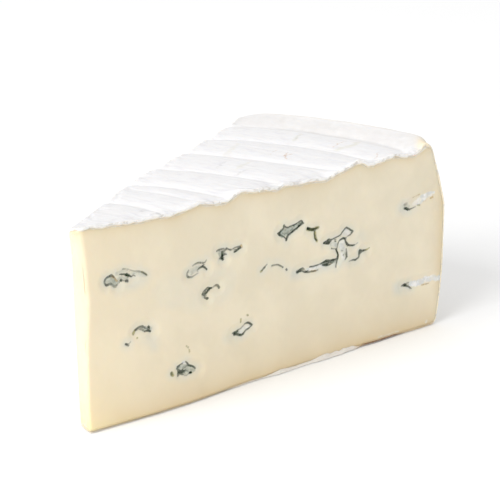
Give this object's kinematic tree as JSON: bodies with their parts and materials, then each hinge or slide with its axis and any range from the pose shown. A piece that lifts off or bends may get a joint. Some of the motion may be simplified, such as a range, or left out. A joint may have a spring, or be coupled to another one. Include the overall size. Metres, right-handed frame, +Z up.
{
  "type": "blue cheese wedge",
  "caption": "Wedge of soft blue-veined cheese cut from a ripened wheel, with a blunt nose, a white ridged rind on top and a convex rim, resting on its base.",
  "frame": {"origin": "middle of the bounding box's footprint, on the plane the wedge rests on", "axes": "+X from the blunt nose towards the rim, +Y towards the back cut, +Z up"},
  "size_m": [0.1168, 0.0632, 0.0501],
  "materials": {
    "paste": "smooth, moist cream-coloured cheese paste with dark blue-green veins",
    "rind": "dry velvety white mould rind, creamier at the rim",
    "blue_mould": "powdery grey-green mould in the open vein pockets"
  },
  "bodies": {
    "root": {"cheese_wedge": "paste"}
  },
  "joints": []
}
